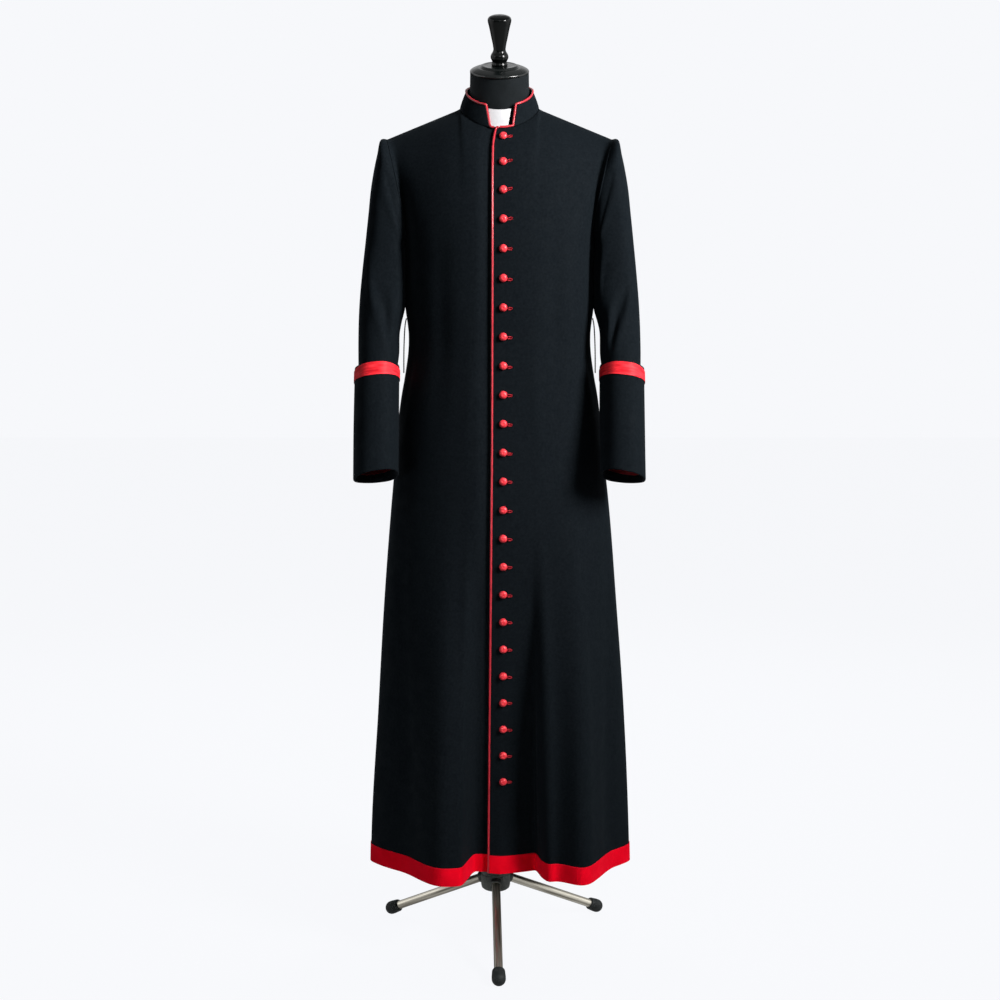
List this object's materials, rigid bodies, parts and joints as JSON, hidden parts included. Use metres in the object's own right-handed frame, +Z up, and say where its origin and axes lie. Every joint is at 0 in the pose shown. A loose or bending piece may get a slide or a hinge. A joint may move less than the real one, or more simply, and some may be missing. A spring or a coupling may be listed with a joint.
{
  "type": "cassock on a dress form stand",
  "caption": "Long buttoned black cassock with red piping, buttons, cuff bands and hem band, worn by a limbless dress form on a tripod stand.",
  "frame": {"origin": "on the floor under the middle of the whole object's box", "axes": "+Z up, the garment's buttoned front faces -Y, and the wearer's left is +X"},
  "size_m": [0.5288, 0.4604, 1.7269],
  "materials": {
    "black_wool": "fine twill wool, matt with a faint nap",
    "red_piping": "satin cord piping",
    "red_moire": "watered silk, ribbed, soft shine",
    "crimson_ribbon": "fine ribbed ribbon, low shine",
    "red_silk": "woven silk, soft shine",
    "white_linen": "starched linen, matt",
    "black_jersey": "knit cover, matt",
    "satin_black": "satin black paint",
    "black_lacquer": "gloss black lacquer",
    "satin_nickel": "satin nickel plate",
    "grey_casting": "painted die casting, satin",
    "black_rubber": "moulded rubber, matt"
  },
  "bodies": {
    "root": {"front_left": "black_wool", "front_right": "black_wool", "back": "black_wool", "hem_band_front_left": "crimson_ribbon", "hem_band_front_right": "crimson_ribbon", "hem_band_back": "crimson_ribbon", "sleeve_left": "black_wool", "cuff_left": "black_wool", "cuff_band_left": "red_moire", "sleeve_lining_left": "red_silk", "sash_loop_left": "black_wool", "sleeve_right": "black_wool", "cuff_right": "black_wool", "cuff_band_right": "red_moire", "sleeve_lining_right": "red_silk", "sash_loop_right": "black_wool", "collar": "black_wool", "collar_tab": "white_linen", "collar_piping": "red_piping", "front_piping": "red_piping", "button_01": "red_silk", "button_02": "red_silk", "button_03": "red_silk", "button_04": "red_silk", "button_05": "red_silk", "button_06": "red_silk", "button_07": "red_silk", "button_08": "red_silk", "button_09": "red_silk", "button_10": "red_silk", "button_11": "red_silk", "button_12": "red_silk", "button_13": "red_silk", "button_14": "red_silk", "button_15": "red_silk", "button_16": "red_silk", "button_17": "red_silk", "button_18": "red_silk", "button_19": "red_silk", "button_20": "red_silk", "button_21": "red_silk", "button_22": "red_silk", "button_23": "red_silk", "button_24": "red_silk", "form_torso": "black_jersey", "neck_cap": "satin_black", "finial": "black_lacquer", "stand_hub": "grey_casting", "stand_pole": "satin_nickel", "stand_leg_1": "satin_nickel", "stand_foot_1": "black_rubber", "stand_leg_2": "satin_nickel", "stand_foot_2": "black_rubber", "stand_leg_3": "satin_nickel", "stand_foot_3": "black_rubber"}
  },
  "joints": []
}
